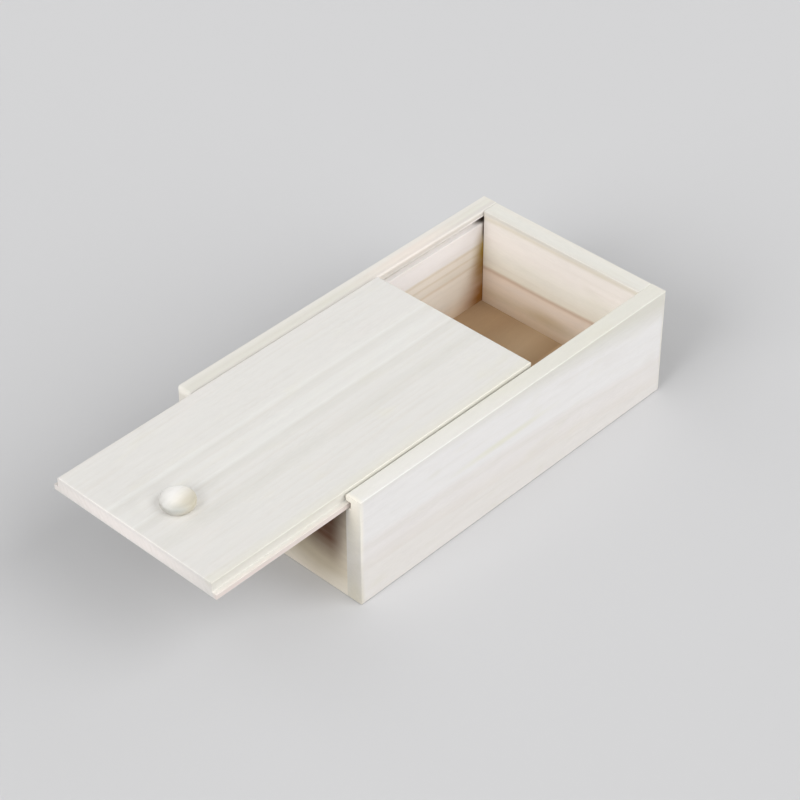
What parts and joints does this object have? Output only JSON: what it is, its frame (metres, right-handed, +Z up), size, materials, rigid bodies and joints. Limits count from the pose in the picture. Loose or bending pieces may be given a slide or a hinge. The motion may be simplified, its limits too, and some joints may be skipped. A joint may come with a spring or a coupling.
{
  "type": "sliding lid wooden box",
  "caption": "Small plain wooden box with a flat lid that slides in grooves in the side walls and is drawn out over a lower front wall by a round button knob.",
  "frame": {"origin": "centre of the box's underside, on the surface it rests on", "axes": "+Z up; -Y is the front, where the lid slides out, +Y the back; +X is the right-hand side seen from the front"},
  "size_m": [0.1116, 0.2755, 0.0647],
  "materials": {
    "side_boards": "bare sanded pale paulownia, straight grain along the box",
    "end_boards": "bare sanded pale paulownia, straight grain across the box",
    "bottom_board": "bare sanded paulownia, slightly darker",
    "lid_board": "bare sanded pale paulownia, faint lengthwise streaks",
    "knob_wood": "bare turned wood, slightly yellow"
  },
  "bodies": {
    "box": {"side_left": "side_boards", "side_right": "side_boards", "end_back": "end_boards", "end_front": "end_boards", "bottom_panel": "bottom_board"},
    "lid": {"lid_panel": "lid_board", "lid_knob": "knob_wood"}
  },
  "joints": [
    {"name": "lid_slide", "type": "slide", "parent": "box", "child": "lid", "axis": [0, -1, 0], "range_m": [-0.073, 0.13]}
  ]
}
